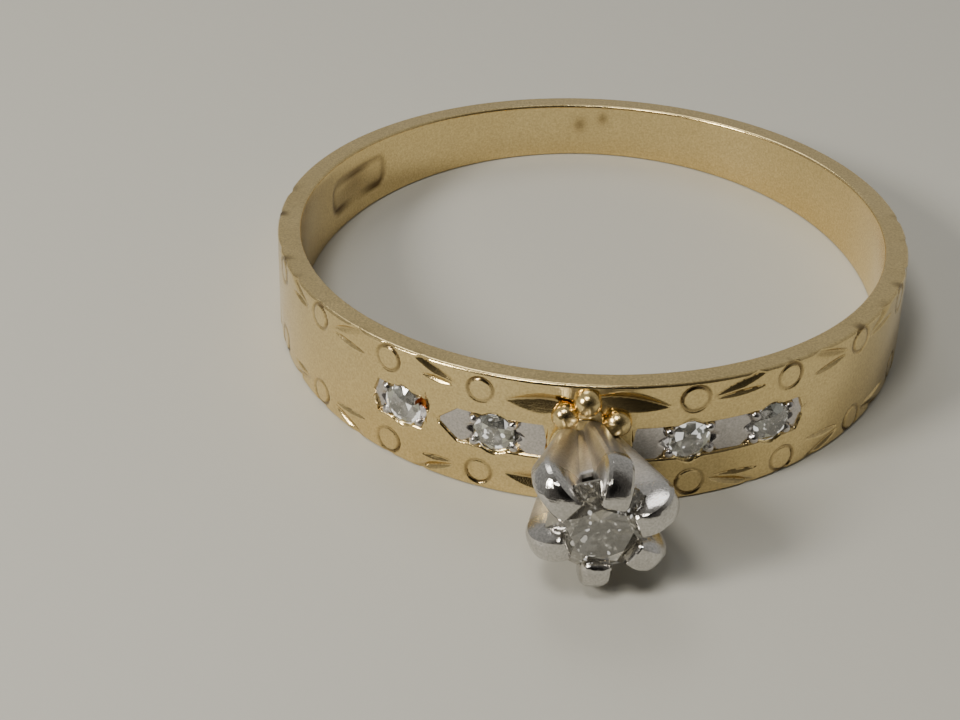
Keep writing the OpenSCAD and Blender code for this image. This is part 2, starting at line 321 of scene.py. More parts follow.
def boolean(target, other, operation, solver="EXACT"):
    """Applies one boolean to target and removes the other object."""
    mod = target.modifiers.new("cut", "BOOLEAN")
    mod.operation = operation
    mod.solver = solver
    mod.object = other
    dg = bpy.context.evaluated_depsgraph_get()
    made = bpy.data.meshes.new_from_object(target.evaluated_get(dg), depsgraph=dg)
    target.modifiers.clear()
    old = target.data
    target.data = made
    bpy.data.meshes.remove(old)
    gone = other.data
    bpy.data.objects.remove(other)
    bpy.data.meshes.remove(gone)


# ---------------------------------------------------------------- engraving depth fields
def leaf(u, z, mark):
    """Depth of one leaf-shaped graver cut, a skewed V that is deepest where it is widest."""
    tiny = 1e-6
    fullness = 0.85
    turn = math.radians(mark["direction"])
    du, dz = u - mark["u"], z - mark["z"]
    t = (du * math.cos(turn) + dz * math.sin(turn)) / mark["length"]
    q = -du * math.sin(turn) + dz * math.cos(turn)
    inside = (t > 0) & (t < 1)
    tt = np.clip(t, tiny, 1 - tiny)
    shape = np.sin(math.pi * tt ** mark["lead"]) ** fullness
    half = 0.5 * mark["width"] * shape + 1e-9
    peak = mark["skew"] * half
    up = (half - q) / (half - peak)
    down = (half + q) / (half + peak)
    v = np.clip(np.minimum(up, down), 0, 1)
    return np.where(inside, mark["depth"] * shape * v, 0.0)


def ring_groove(u, z, circle, half, depth):
    """Depth of one punched circle, struck deeper on one side."""
    u0, z0, radius, heavy = circle
    even, uneven = 0.72, 0.28
    d = np.hypot(u - u0, z - z0)
    strike = even + uneven * np.cos(np.arctan2(z - z0, u - u0) - heavy)
    return depth * strike * np.clip(1 - ((d - radius) / half) ** 2, 0, 1)


def drop_at(angle):
    """How far the marks move down where the band becomes too narrow for them."""
    return max(0.0, CIRCLE_Z - half_at(math.radians(angle)) + RIM_MARGIN)


def edge_marks():
    """Every circle and leaf of the upper edge, with slight hand-made variation."""
    rng = random.Random(7)
    circles, leaves = [], []
    # Slopes of the leaves, and how far before a circle the inner ones start, in degrees.
    after_high, after_low, before_high, before_low = 19, 1, -18, 3
    before_start, before_gap = 3.7, 0.3

    def add_leaf(side, angle, direction, cut):
        leaves.append(
            {
                "u": arc(angle),
                "z": cut.height - drop_at(angle),
                "direction": direction + rng.uniform(-2.5, 2.5),
                "length": cut.length * rng.uniform(0.93, 1.08),
                "width": cut.width * rng.uniform(0.9, 1.12),
                "depth": cut.depth * rng.uniform(0.85, 1.15),
                "skew": side * cut.skew,
                "lead": cut.lead,
            }
        )

    for side in (-1, 1):
        habit = SIDE_HABITS[side]
        away = 0 if side > 0 else 180
        back = away + 180
        for i in range(1, CIRCLE_N + 1):
            angle = side * i * STEP_A + rng.uniform(-0.25, 0.25)
            height = CIRCLE_Z - drop_at(angle) + rng.uniform(-0.03, 0.03)
            heavy = math.radians(rng.uniform(40, 140))
            circles.append((arc(angle), height, CIRCLE_R * rng.uniform(0.95, 1.05), heavy))
        add_leaf(side, side * LONG_LEAF_A, back - side * habit["rise"], LONG_LEAF)
        low = AFTER_LOW._replace(length=habit["low_length"])
        for i in (1, 3, 5):
            angle = side * (i * STEP_A + habit["after"])
            add_leaf(side, angle, away + side * after_high, AFTER_HIGH)
            add_leaf(side, angle, away + side * after_low, low)
        for i in (3, 5):
            angle = side * (i * STEP_A - before_start)
            add_leaf(side, angle, back + side * before_high, BEFORE_HIGH)
            angle -= side * before_gap
            add_leaf(side, angle, back + side * before_low, BEFORE_LOW)
    return circles, leaves


def end_share(away, taper):
    """Share of the full strip width at a distance from one end of its slot."""
    return np.minimum(1.0, BLUNT + (1 - BLUNT) * np.abs(away) / taper)


def slot_half(angle, span, tapers):
    """Half-width of a slot at an angle in degrees, also defined past its ends."""
    shares = [end_share(angle - end, taper) for end, taper in zip(span, tapers)]
    return STRIP_HALF * np.minimum(*shares)


def slot_depth(u, z, span, tapers):
    """Depth of one strip pocket: a bright-cut lip, then a steep wall."""
    lo, hi = (arc(angle) for angle in span)
    half = slot_half(np.degrees(u / R_OUT), span, tapers)
    d = np.maximum(np.maximum(lo - u, u - hi), np.abs(z) - half)
    return np.interp(-d, [-LIP_W, 0.0, WALL_W], [0.0, STRIP_SINK, POCKET])


def drilled(u, z):
    """Share of the small drilled hole at the end of the left outer strip."""
    soft = 0.03
    d = np.hypot(u - arc(DRILLED["angle"]), z - DRILLED["z"])
    return np.clip((DRILLED["radius"] + soft / 2 - d) / soft, 0, 1)


def seat_depth(u, z, angle):
    """Depth of the hole for one side stone: a short wall, then a cone."""
    shoulder = 0.1
    cone_depth = 0.5
    d = np.hypot(u - arc(angle), z)
    rim = SIDE_D / 2 + 0.02
    wall = np.interp(rim - d, [-0.03, 0.0], [0.0, shoulder])
    cone = np.where(d < rim, shoulder + cone_depth * (1 - d / rim), 0.0)
    return np.maximum(wall, cone)


def outer_depth(u, z):
    """Depth of everything cut into the outside of the band, at arc u and height z."""
    depth = np.zeros_like(u)
    circles, leaves = edge_marks()
    for flip in (1, -1):
        zz = z * flip
        for circle in circles:
            depth = np.maximum(depth, ring_groove(u, zz, circle, GROOVE_HALF, GROOVE_DEPTH))
        for mark in leaves:
            depth = np.maximum(depth, leaf(u, zz, mark))
    for span, tapers in zip(STRIP_SPANS, STRIP_TAPERS):
        depth = np.maximum(depth, slot_depth(u, z, span, tapers))
    for angle in SIDE_ANGLES:
        depth = np.maximum(depth, seat_depth(u, z, angle))
    depth = np.maximum(depth, DRILLED["depth"] * drilled(u, z))
    for angle, direction, length, width in RUN_OUTS:
        mark = {"u": arc(angle), "z": 0.0, "direction": direction, "length": length,
                "width": width, "depth": RUN_OUT_DEPTH, "skew": 0.2, "lead": 0.55}
        depth = np.maximum(depth, leaf(u, z, mark))
    return depth


def stamp_edge(u, z):
    """Distance outside the outline of the stamped panel, negative inside it."""
    corner = STAMP["corner"]
    du = np.abs(u - math.radians(STAMP["angle"]) * R_IN) - STAMP["length"] / 2 + corner
    dz = np.abs(z) - STAMP["height"] / 2 + corner
    outside = np.hypot(np.maximum(du, 0), np.maximum(dz, 0))
    return outside + np.minimum(np.maximum(du, dz), 0) - corner


def inner_depth(u, z):
    """Depth of the blank stamped panel on the inner wall: a groove round a flat field."""
    groove_depth, groove_half = 0.03, 0.12
    field_depth, field_edge = 0.015, 0.08
    d = stamp_edge(u, z)
    rim = groove_depth * np.clip(1 - (d / groove_half) ** 2, 0, 1)
    return np.maximum(rim, np.interp(-d, [0.0, field_edge], [0.0, field_depth]))


def outer_darkening(u, z):
    """Share of the dark colour outside the band: darker in the cuts, painted shade in the
    drilled hole.
    """
    leaf_gain = 4
    cuts = np.zeros(len(u))
    circles, leaves = edge_marks()
    for flip in (1, -1):
        for circle in circles:
            cuts = np.maximum(cuts, ring_groove(u, z * flip, circle, CUT_DARK_HALF, CUT_DARK_SHARE))
        for mark in leaves:
            cuts = np.maximum(cuts, leaf(u, z * flip, mark) * leaf_gain)
    return np.maximum(cuts, drilled(u, z))


def inner_grime(phi, z):
    """Grime share on the inside of the band: on the worn stamp and in two smudges."""
    groove_share, groove_half = 1.15, 0.17
    field_share, field_edge = 0.5, 0.1
    smudge_share, smudge_squash = 0.6, 0.8
    d = stamp_edge(phi * R_IN, z)
    worn = 0.6 + 0.4 * np.sin(phi * R_OUT * 2.9 + 0.6) * np.cos(z * 4.1 - 0.9)
    panel = groove_share * worn * np.clip(1 - (d / groove_half) ** 2, 0, 1)
    panel = np.maximum(panel, field_share * worn * np.clip(-d / field_edge, 0, 1))
    for angle, height, size in SMUDGES:
        du = (phi - math.radians(angle)) * R_IN
        away = np.hypot(du, (z - height) * smudge_squash) / size
        panel = np.maximum(panel, smudge_share * np.exp(-(away**2)))
    return panel


def dirt_and_shade_at(v):
    """Share of the dark colour for band vertices: stains inside, darker cuts and painted shade
    in the hole outside.
    """
    phi = np.arctan2(v[:, 0], -v[:, 1])
    r, z = np.hypot(v[:, 0], v[:, 1]), v[:, 2]
    outside = r > (R_IN + R_OUT) / 2
    return np.where(outside, outer_darkening(phi * R_OUT, z), inner_grime(phi, z))


def paint(o, values, name="dirt_and_shade"):
    """Stores one number per vertex under a name that the materials read."""
    layer = o.data.attributes.new(name, "FLOAT", "POINT")
    layer.data.foreach_set("value", np.asarray(values, dtype=np.float32))


def vertex_mm(o):
    flat = np.empty(len(o.data.vertices) * 3, dtype=np.float64)
    o.data.vertices.foreach_get("co", flat)
    return flat.reshape(-1, 3) / MM


# ---------------------------------------------------------------- band
def band_columns():
    """Column angles in radians: dense over the engraving, sparse round the back."""
    columns = [np.arange(*span) for span in COLUMN_SPANS]
    slot_ends = []
    for lo, hi in STRIP_SPANS:
        for end, inward in ((lo, 1), (hi, -1)):
            for off in (-LIP_W, 0.0, WALL_W):
                slot_ends.append(end + inward * math.degrees(off / R_OUT))
    columns.append(np.array(slot_ends))
    return np.radians(np.unique(np.round(np.concatenate(columns), 5)))


def row_half(phi):
    """Half-width that the rows beside the slots follow, so slot edges stay clean."""
    angle = np.degrees(phi)
    halves = [slot_half(angle, s, t) for s, t in zip(STRIP_SPANS, STRIP_TAPERS)]
    return np.minimum.reduce(halves)


def core_height(row, half):
    """Height of one core row where the slot beside it has the given half-width."""
    if row <= STRIP_HALF:
        return half * row / STRIP_HALF
    if row <= LIP_ROWS_TOP:
        return half + (row - STRIP_HALF)
    share = (row - LIP_ROWS_TOP) / PAST_ROWS_W
    return half + LIP_ROWS_W + share * (CORE_HALF - LIP_ROWS_W - half)


def outer_heights(phi):
    """Heights of the outer rows for each column, bottom to top."""
    top = half_at(phi) - OUTER_ROUND
    core_half = CORE_HALF * np.minimum(1.0, top / CORE_FULL_FROM)
    half = row_half(phi)
    up = [core_height(row, half) / CORE_HALF * core_half for row in CORE_ROWS]
    up += [core_half + e * (top - core_half) for e in np.linspace(0, 1, EDGE_ROWS)]
    down = [-height for height in up[:0:-1]]
    return np.stack(down + up, axis=1)


def quarter_turn(steps):
    """Angles in radians that divide a quarter turn evenly, without its start."""
    return [math.pi / 2 * i / steps for i in range(1, steps + 1)]


def rim_rows(phi, cut_depth):
    """Rows (radius, height) over the top rim, from the outer wall to the inner wall."""
    b, ib = OUTER_ROUND, INNER_ROUND
    w_out, w_in = half_at(phi, R_OUT - b), half_at(phi, R_IN + ib)
    rows = []
    for t in quarter_turn(OUTER_TURNS):
        cut = np.maximum(0, cut_depth - b * (1 - math.cos(t)))
        rows.append((R_OUT - b + b * math.cos(t) - cut, w_out - b + b * math.sin(t)))
    for share in RIM_SHARES:
        r = (R_OUT - b) * (1 - share) + (R_IN + ib) * share
        rows.append((r, half_at(phi, r)))
    for t in reversed(quarter_turn(INNER_TURNS)):
        rows.append((R_IN + ib - ib * math.cos(t), w_in - ib + ib * math.sin(t)))
    return rows


def band_mesh():
    """Vertices and faces of the band, column by column round the finger."""
    phi = band_columns()
    heights = outer_heights(phi)
    depth = outer_depth(phi[:, None] * R_OUT * np.ones_like(heights), heights)
    rows = [(R_OUT - depth[:, j], heights[:, j]) for j in range(heights.shape[1])]
    rows += rim_rows(phi, depth[:, -1])
    wall = half_at(phi, R_IN) - INNER_ROUND
    for share in np.linspace(1, -1, INNER_ROWS):
        rows.append((R_IN + inner_depth(phi * R_IN, share * wall), share * wall))
    rows += [(r, -z) for r, z in reversed(rim_rows(phi, depth[:, 0]))]
    column = np.ones(len(phi))
    r = np.stack([radius * column for radius, _ in rows], axis=1)
    z = np.stack([height * column for _, height in rows], axis=1)
    x = r * np.sin(phi)[:, None]
    y = -r * np.cos(phi)[:, None]
    verts = np.stack([x, y, z], axis=-1).reshape(-1, 3)
    faces = grid_faces(len(phi), len(rows), wrap_c=True, wrap_r=True)
    return verts, faces


def make_band():
    verts, faces = band_mesh()
    o = add_object("band", verts, faces)
    bottom, top = -0.9, -0.42
    hole = [(0, bottom), (AZURE_R, bottom), (AZURE_R, top), (0, top)]
    for angle in SIDE_ANGLES:
        cutter = add_object("azure", *lathe(hole, 48), on_band(angle))
        boolean(o, cutter, "DIFFERENCE", "MANIFOLD")
    # Marks stains on the inner wall, the darker cuts, and painted shade in the drilled hole.
    paint(o, dirt_and_shade_at(vertex_mm(o)))
    return smooth(o, 62)


# ---------------------------------------------------------------- strips
def bright_cuts(du, z):
    """Depth below the strip's face of the cuts beside one stone: a V and two edge cuts."""
    vee_depth, edge_depth = 0.2, 0.16
    away = np.clip((np.abs(du) - 0.45) / 0.42, 0, 1)
    vee = np.clip(1 - np.abs(z) / (0.08 + 0.2 * (1 - away)), 0, 1) * (1 - away)
    edge = np.clip((np.abs(z) - 0.33) / 0.16, 0, 1) * np.clip(1.5 - np.abs(du) / 0.6, 0, 1)
    return np.maximum(vee_depth * vee, edge_depth * edge)


def grain(du, z, angle, height):
    """One ball grain: where it stands, and its height there."""
    c, s = math.cos(math.radians(angle)), math.sin(math.radians(angle))
    gu, gz = du - c * GRAIN_OUT_U, z - s * GRAIN_OUT_Z
    along, across = gu * c + gz * s, -gu * s + gz * c
    shape = np.hypot(along / GRAIN_L, across / GRAIN_W)
    return shape < 1, height * np.sqrt(np.clip(1 - shape**2, 0, 1))


def strip_top(u, z, stones, seed):
    """Depth of a strip's face below the band surface: bright cuts, seats and grains."""
    rng = random.Random(seed)
    knots = 60
    wave = [rng.uniform(-0.012, 0.012) for _ in range(knots)]
    slant = [rng.uniform(-0.03, 0.03) for _ in range(knots)]
    at = np.linspace(-8, 8, knots)
    depth = STRIP_SINK + np.interp(u, at, wave) + z * np.interp(u, at, slant)
    for angle in stones:
        depth = np.maximum(depth, STRIP_SINK + bright_cuts(u - arc(angle), z))
    seat = SIDE_D / 2 - 0.02
    shoulder, cone_depth = 0.1, 0.22
    for angle in stones:
        du = u - arc(angle)
        for corner in GRAIN_ANGLES:
            turned = corner + rng.uniform(-4, 4)
            here, rise = grain(du, z, turned, rng.uniform(0.15, 0.19))
            depth = np.where(here, np.minimum(depth, STRIP_SINK - rise), depth)
        d = np.hypot(du, z)
        cone = shoulder + cone_depth * (1 - d / seat)
        depth = np.where(d < seat, np.maximum(depth, cone), depth)
    return depth


def make_strip(name, span, tapers, stones, seed):
    """Curved slab between two angles with a sculpted face and narrowing ends."""
    tuck = math.degrees(TUCK / R_OUT)
    steps = int((span[1] - span[0]) / STRIP_STEP)
    phi = np.radians(np.linspace(span[0] - tuck, span[1] + tuck, steps))
    inside = np.clip(np.degrees(phi), *span)
    half = slot_half(inside, span, tapers) + TUCK
    z = half[:, None] * np.linspace(-1, 1, STRIP_ROWS)[None, :]
    u = phi[:, None] * R_OUT * np.ones_like(z)
    hole = drilled(u, z)
    top = np.where(hole > 0.5, DRILLED["depth"], strip_top(u, z, stones, seed))
    back = z[:, ::-4]
    above_floor = 0.015
    low = R_OUT - POCKET + above_floor
    r = np.concatenate([R_OUT - top, np.full_like(back, low)], axis=1)
    zz = np.concatenate([z, back], axis=1)
    verts = np.stack([r * np.sin(phi)[:, None], -r * np.cos(phi)[:, None], zz], -1)
    o = add_object(name, verts.reshape(-1, 3), tube_faces(*r.shape))
    # The strip marks only its drilled hole, which the material fills with painted shade.
    paint(o, np.concatenate([hole, np.zeros_like(back)], axis=1).reshape(-1))
    return smooth(o, 30)


# ---------------------------------------------------------------- stones
def polar(radius, angle, z):
    a = math.radians(angle)
    return (radius * math.cos(a), radius * math.sin(a), z)


def brilliant(d):
    """Facets of a round brilliant of diameter d, girdle at z = 0, table up."""
    r, g = d / 2, GIRDLE * d / 2
    t_r, t_z, c_z = TABLE * d, g + CROWN * d, -g - PAVILION * d
    turn, half_turn = 45, 22.5
    c = math.cos(math.radians(half_turn))
    s_r = (t_r * c + r) / 2
    s_z = g + (t_z - g) * (r - s_r * c) / (r - t_r)
    l_r = LOWER * d / 2
    l_z = -g + (c_z + g) * (r - l_r * c) / r
    v = [polar(t_r, i * turn, t_z) for i in range(8)]
    v += [polar(s_r, i * turn + half_turn, s_z) for i in range(8)]
    v += [polar(r, i * half_turn, g) for i in range(16)]
    v += [polar(r, i * half_turn, -g) for i in range(16)]
    v += [polar(l_r, i * turn + half_turn, l_z) for i in range(8)]
    v.append((0, 0, c_z))
    # Where each ring of corners starts in the list above; the table's starts at 0.
    star, upper, lower, keel, culet = 8, 16, 32, 48, 56
    f = [tuple(range(8))]
    for i in range(8):
        after, before = (i + 1) % 8, (i + 7) % 8
        a, b, e = upper + 2 * i, upper + 1 + 2 * i, upper + (2 * i + 2) % 16
        f += [(i, star + i, after), (i, star + before, a, star + i)]
        f += [(star + i, a, b), (star + i, b, e)]
        a, b, e = a + 16, b + 16, e + 16
        f += [(keel + i, b, a), (keel + i, e, b), (culet, keel + i, a, keel + before)]
    for i in range(16):
        j = (i + 1) % 16
        f.append((upper + i, lower + i, lower + j, upper + j))
    return v, f


def make_stone(name, d, matrix, spin):
    """Brilliant whose facets each store how much they mirror, drawn at random; in the material
    the facets at 1 also glow as a painted highlight.
    """
    under = (0.0, 0.3, 0.7, 0.9, 1.0)
    over = (0.0, 0.1, 0.2, 0.3, 0.5, 0.7, 0.9, 1.0)
    m = matrix @ Matrix.Rotation(math.radians(spin), 4, "Z")
    verts, faces = brilliant(d)
    o = add_object(name, verts, faces, m)
    rng = random.Random(name)
    middle = np.mean([v[2] for v in verts])
    # Facets drawn at 1.0 also get a painted highlight in the stone material.
    mirror_and_highlight = [0.0]
    for f in faces[1:]:
        below = np.mean([verts[i][2] for i in f]) < middle
        mirror_and_highlight.append(rng.choice(under if below else over))
    layer = o.data.attributes.new("mirror_and_highlight", "FLOAT", "FACE")
    layer.data.foreach_set("value", np.asarray(mirror_and_highlight, dtype=np.float32))
    o.data.shade_flat()
    return o


# ---------------------------------------------------------------- head
def seat_disc():
    """Outline of the round seat with a rounded rim, as [radius, height] points."""
    e = 0.05
    disc = [(0, -0.5), (SEAT_R, -0.5), (SEAT_R, SEAT_T - e)]
    disc += [(SEAT_R - e + e * math.cos(t), SEAT_T - e + e * math.sin(t))
             for t in (math.pi / 6, math.pi / 3, math.pi / 2)]
    return disc + [(0, SEAT_T)]


def lobe_dome():
    """Outline of one polished lobe, as [radius, height] points."""
    centre_h = 0.06
    dome = [(0, -0.5), (LOBE_R * 0.96, -0.5), (LOBE_R * 0.96, 0.0)]
    dome += [(LOBE_R * math.cos(t), centre_h + LOBE_R * math.sin(t))
             for t in np.linspace(-0.1, math.pi / 2 - 0.12, 14)]
    return dome + [(0, centre_h + LOBE_R)]


def make_base():
    """Yellow seat: a disc with rounded rim and six domed lobes, shaped to the band."""
    o = add_object("head_seat", *lathe(seat_disc(), 96), on_band(0))
    web = [(0, -0.5), (0.45, -0.5), (0.45, 0.1), (0.41, 0.14), (0, 0.14)]
    web_out = 0.85
    for side in (1, -1):
        m = on_band(0) @ Matrix.Translation((0, side * web_out, 0))
        boolean(o, add_object("web", *lathe(web, 48), m), "UNION")
    for side in (1, -1):
        for x, h in LOBE_SPOTS:
            m = on_band(0) @ Matrix.Translation((x, side * h, 0))
            boolean(o, add_object("lobe", *lathe(lobe_dome(), 48), m), "UNION")
    core = [(0, -3), (R_OUT, -3), (R_OUT, 3), (0, 3)]
    boolean(o, add_object("core", *lathe(core, 720)), "DIFFERENCE")
    return smooth(o, 40)


def claw_section():
    """Cross-section of a claw: (sideways share, outward share), a box with cut corners."""
    right = ((0.94, 0.0), (1.0, 0.35), (0.93, 0.72), (0.8, 0.89), (0.6, 0.97), (0.3, 1.0))
    return list(right) + [(0.0, 1.0)] + [(-side, out) for side, out in reversed(right)]


def between(a, b, t):
    """Point at share t of the way from a to b, both (distance, height)."""
    return [a[k] + (b[k] - a[k]) * t for k in (0, 1)]


def claw_stations(grow, reach, bend, sunk):
    """(outer point, inner point, width) along one claw, foot to tip."""
    top = GIRDLE_H + CLAW_RISE - sunk
    c = (CROWN_R - bend + grow, top - bend)
    start = (c[0] + bend * math.cos(math.radians(CLAW_FLARE)),
             c[1] - bend * math.sin(math.radians(CLAW_FLARE)))
    out = []
    leg_steps, bend_steps = 12, 14
    for i in range(leg_steps):
        t = i / leg_steps
        width = CLAW_FOOT_W + (CLAW_W - CLAW_FOOT_W) * t**1.2
        outer = between(CLAW_FOOT_OUT, start, t)
        out.append((outer, between(CLAW_FOOT_IN, CLAW_KNEE_IN, t), width))
    for i in range(bend_steps + 1):
        t = i / bend_steps
        a = math.radians(-CLAW_FLARE + (90 + CLAW_FLARE) * t)
        outer = (c[0] + bend * math.cos(a), c[1] + bend * math.sin(a))
        inner = [at + move * t for at, move in zip(CLAW_KNEE_IN, KNEE_TO_TIP)]
        out.append((outer, inner, CLAW_W * (1 + BEND_SWELL * math.sin(math.pi * t))))
    inside_bend, undercut = 0.01, 0.03
    for x, drop, lift, width in CLAW_TIP:
        tip = min(x, c[0] - inside_bend) - reach * (TIP_FROM - x) / TIP_L
        inner = (tip - undercut, TIP_IN_H + lift)
        out.append(((tip, top - drop), inner, CLAW_W * width))
    return out


def make_claw(index, rng):
    """One claw, swept through its stations and turned to its place round the head."""
    section = claw_section()
    stations = claw_stations(CLAW_GROW[index] + rng.uniform(-0.01, 0.01),
                             rng.uniform(-0.02, 0.03) - CLAW_SHORT[index],
                             CLAW_BEND[index], CLAW_DROP[index])
    verts = []
    for outer, inner, width in stations:
        for s, k in section:
            r = inner[0] + (outer[0] - inner[0]) * k
            h = inner[1] + (outer[1] - inner[1]) * k
            verts.append((r, s * width / 2, h))
    faces = tube_faces(len(stations), len(section))
    angle = index * 360 // CLAW_N + 30 + CLAW_SWAY[index]
    matrix = head_frame() @ Matrix.Rotation(math.radians(angle), 4, "Z")
    return add_object("claw", verts, faces, matrix)


def gem_room():
    """Outline of the space the centre stone takes, with a little play all round."""
    play = 0.012
    g = GIRDLE * CENTRE_D / 2 + play
    r = CENTRE_D / 2 + play
    table = (TABLE * CENTRE_D + play, g + CROWN * CENTRE_D)
    return [(0, -g - PAVILION * CENTRE_D), (r, -g), (r, g), table, (0, table[1])]


def make_crown():
    """Six claws joined in a cup, hollowed for the stone and cut flat on the seat."""
    rng = random.Random(11)
    o = add_object("claw_head", *lathe(CUP, 96), head_frame())
    for i in range(CLAW_N):
        boolean(o, make_claw(i, rng), "UNION", "MANIFOLD")
    room = add_object("gem_seat", *lathe(gem_room(), 96), head_frame(GIRDLE_H))
    boolean(o, room, "DIFFERENCE", "MANIFOLD")
    foot = [(0, -2), (4, -2), (4, SEAT_T), (0, SEAT_T)]
    below = add_object("foot_cut", *lathe(foot, 32), on_band(0))
    boolean(o, below, "DIFFERENCE", "MANIFOLD")
    to_head = np.array(head_frame().inverted())
    h = vertex_mm(o) @ to_head[2, :3] + to_head[2, 3]
    paint(o, np.clip((CAST_TOP - h) / CAST_FADE, 0, 1), "cast")
    return smooth(o, 24)


# ---------------------------------------------------------------- materials
def new_material(name):
    m = bpy.data.materials.new(name)
    m.use_nodes = True
    return m, m.node_tree.nodes, m.node_tree.links, m.node_tree.nodes["Principled BSDF"]


def feed(links, socket, value):
    """Sets a socket from a number, a colour or another socket."""
    if isinstance(value, bpy.types.NodeSocket):
        links.new(value, socket)
    elif isinstance(value, tuple):
        socket.default_value = (*value, 1)
    else:
        socket.default_value = value


def attribute(nodes, name):
    """Number stored on the mesh under a name."""
    node = nodes.new("ShaderNodeAttribute")
    node.attribute_name = name
    return node.outputs["Fac"]


def calculate(nodes, links, operation, *values):
    """Result of a math operation on numbers or sockets."""
    node = nodes.new("ShaderNodeMath")
    node.operation = operation
    for socket, value in zip(node.inputs, values):
        feed(links, socket, value)
    return node.outputs["Value"]


def noise(nodes, links, coord, scale, detail, stretch=None):
    tex = nodes.new("ShaderNodeTexNoise")
    tex.inputs["Scale"].default_value = scale
    tex.inputs["Detail"].default_value = detail
    tex.inputs["Roughness"].default_value = 0.55
    if stretch:
        mapping = nodes.new("ShaderNodeMapping")
        mapping.inputs["Scale"].default_value = stretch
        links.new(coord, mapping.inputs["Vector"])
        coord = mapping.outputs["Vector"]
    links.new(coord, tex.inputs["Vector"])
    return tex.outputs["Fac"]


def remap(nodes, links, value, lo, hi, to_lo, to_hi):
    node = nodes.new("ShaderNodeMapRange")
    for key, number in (("From Min", lo), ("From Max", hi), ("To Min", to_lo),
                        ("To Max", to_hi)):
        node.inputs[key].default_value = number
    links.new(value, node.inputs["Value"])
    return node.outputs["Result"]


def blend(nodes, links, fac, a, b, kind="MIX"):
    """Mix of two colours, each a colour or a socket."""
    mix = nodes.new("ShaderNodeMix")
    mix.data_type = "RGBA"
    mix.blend_type = kind
    for key, value in (("Factor", fac), ("A", a), ("B", b)):
        feed(links, mix.inputs[key], value)
    return mix.outputs["Result"]


def bump(nodes, links, height, distance, strength, below=None):
    b = nodes.new("ShaderNodeBump")
    b.inputs["Strength"].default_value = strength
    b.inputs["Distance"].default_value = distance
    links.new(height, b.inputs["Height"])
    if below is not None:
        links.new(below, b.inputs["Normal"])
    return b.outputs["Normal"]


def metal_colour(nodes, links, coord, light, deep, dirt_and_shade_colour, grain):
    """Slow drift between two tones, fine specks, and a dark colour where marked: stains,
    darker cuts, painted shade in holes.
    """
    drift = remap(nodes, links, noise(nodes, links, coord, 260, 3), 0.3, 0.7, 0, 1)
    clean = blend(nodes, links, drift, light, deep)
    specks = remap(nodes, links, grain, 0.3, 0.7, 0.76, 1.1)
    worn = blend(nodes, links, 1.0, clean, specks, "MULTIPLY")
    return blend(nodes, links, attribute(nodes, "dirt_and_shade"), worn, dirt_and_shade_colour)


def metal_relief(nodes, links, coord, grain):
    """Shallow dents, scratches both ways and fine grain, as a surface normal."""
    dents = noise(nodes, links, coord, 420, 2)
    round_scratches = noise(nodes, links, coord, 2500, 2, (1.0, 1.0, 14.0))
    upright_scratches = noise(nodes, links, coord, 2600, 2, (8.0, 8.0, 0.7))
    normal = bump(nodes, links, dents, 0.00002, 0.35)
    normal = bump(nodes, links, round_scratches, 0.000004, 0.5, normal)
    normal = bump(nodes, links, upright_scratches, 0.000006, 0.6, normal)
    return bump(nodes, links, grain, 0.000002, 0.5, normal)


def metal(name, light, deep, dirt_and_shade_colour, rough, wear):
    """Polished precious metal, matt where the mesh is marked as cast."""
    cast_rough = 0.25
    m, nodes, links, bsdf = new_material(name)
    coord = nodes.new("ShaderNodeTexCoord").outputs["Object"]
    grain = noise(nodes, links, coord, 16000, 3)
    feed(links, bsdf.inputs["Metallic"], 1.0)
    feed(links, bsdf.inputs["Base Color"],
         metal_colour(nodes, links, coord, light, deep, dirt_and_shade_colour, grain))
    patch = noise(nodes, links, coord, 700, 5)
    polish = remap(nodes, links, patch, 0.3, 0.7, rough * (1 - wear), rough * (1 + wear))
    feed(links, bsdf.inputs["Roughness"],
         calculate(nodes, links, "MULTIPLY_ADD", attribute(nodes, "cast"), cast_rough, polish))
    feed(links, bsdf.inputs["Normal"], metal_relief(nodes, links, coord, grain))
    return m


def gem_material(name, tint, rough, clear, sparkle, painted_facet_highlight, painted_glint, rare):
    """Cut stone. Clear below 1 leaves a milky haze, and sparkle lets facets mirror.

    The most mirroring facets glow with a painted highlight, and random points glow with
    painted glints; a higher rare leaves fewer points.
    """
    diamond_ior = 2.42
    point_edge = 0.04
    m, nodes, links, bsdf = new_material(name)
    coord = nodes.new("ShaderNodeTexCoord").outputs["Object"]
    cloud = noise(nodes, links, coord, 900, 3)
    pale = tuple(min(1, c * 1.06) for c in tint)
    feed(links, bsdf.inputs["Base Color"], blend(nodes, links, cloud, tint, pale))
    film = noise(nodes, links, coord, 2500, 3)
    feed(links, bsdf.inputs["Roughness"], remap(nodes, links, film, 0.4, 0.75, 0.0, rough))
    feed(links, bsdf.inputs["IOR"], diamond_ior)
    feed(links, bsdf.inputs["Transmission Weight"], clear)
    mirror_and_highlight = attribute(nodes, "mirror_and_highlight")
    feed(links, bsdf.inputs["Metallic"], remap(nodes, links, mirror_and_highlight, 0, 1, 0, sparkle))
    # Painted highlight: the most mirroring facets glow, though the stone is no lamp.
    facets = remap(nodes, links, mirror_and_highlight, 0.9, 1.0, 0, painted_facet_highlight)
    # Painted glints: random points of the stone glow.
    glint = noise(nodes, links, coord, 4200, 1)
    points = remap(nodes, links, glint, rare, rare + point_edge, 0, painted_glint)
    # Colour of the painted highlights and glints.
    feed(links, bsdf.inputs["Emission Color"], (1, 0.98, 0.93))
    feed(links, bsdf.inputs["Emission Strength"],
         calculate(nodes, links, "MAXIMUM", facets, points))
    return m


